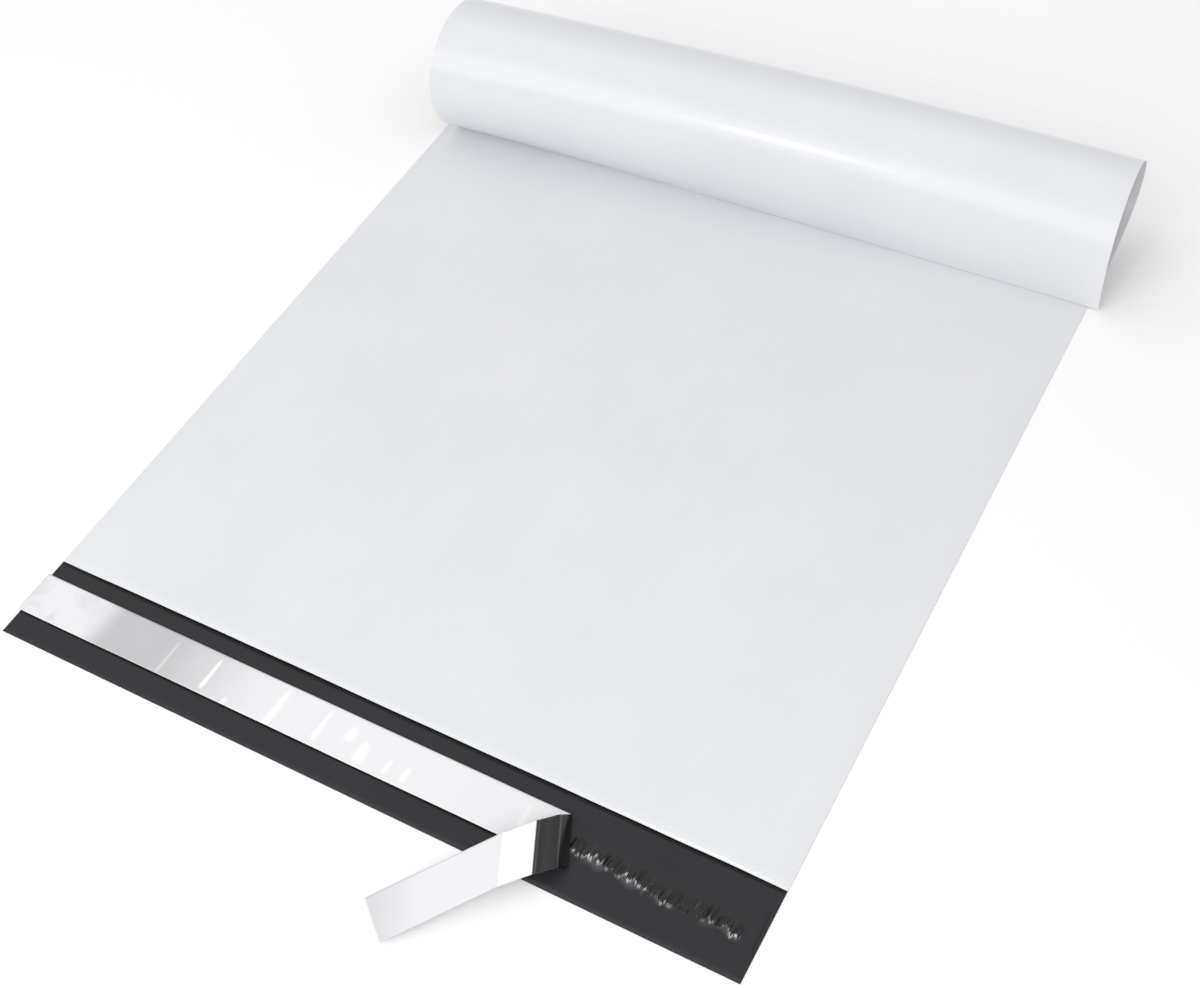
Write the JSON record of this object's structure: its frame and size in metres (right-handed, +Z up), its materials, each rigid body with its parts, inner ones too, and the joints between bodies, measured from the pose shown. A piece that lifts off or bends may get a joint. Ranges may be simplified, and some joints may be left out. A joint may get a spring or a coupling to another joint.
{
  "type": "poly mailer bag",
  "caption": "White film mailing bag lying flat with its closed end curled over, its dark inner flap open and its release liner part peeled.",
  "frame": {"origin": "under the middle of the whole object, on the surface that it lies on", "axes": "+X along the bag's width, to the right seen from the flap; +Y along the bag's length, from the open flap to the curled end; +Z up"},
  "size_m": [0.4132, 0.5744, 0.0736],
  "materials": {
    "bag_film": "satin co-extruded film, white outside and charcoal grey inside",
    "adhesive_strip": "tacky glossy hot-melt, clear over the dark film",
    "release_liner": "glossy white release film"
  },
  "bodies": {
    "root": {"bag_film": "bag_film", "adhesive_strip": "adhesive_strip", "release_liner": "release_liner"}
  },
  "joints": []
}
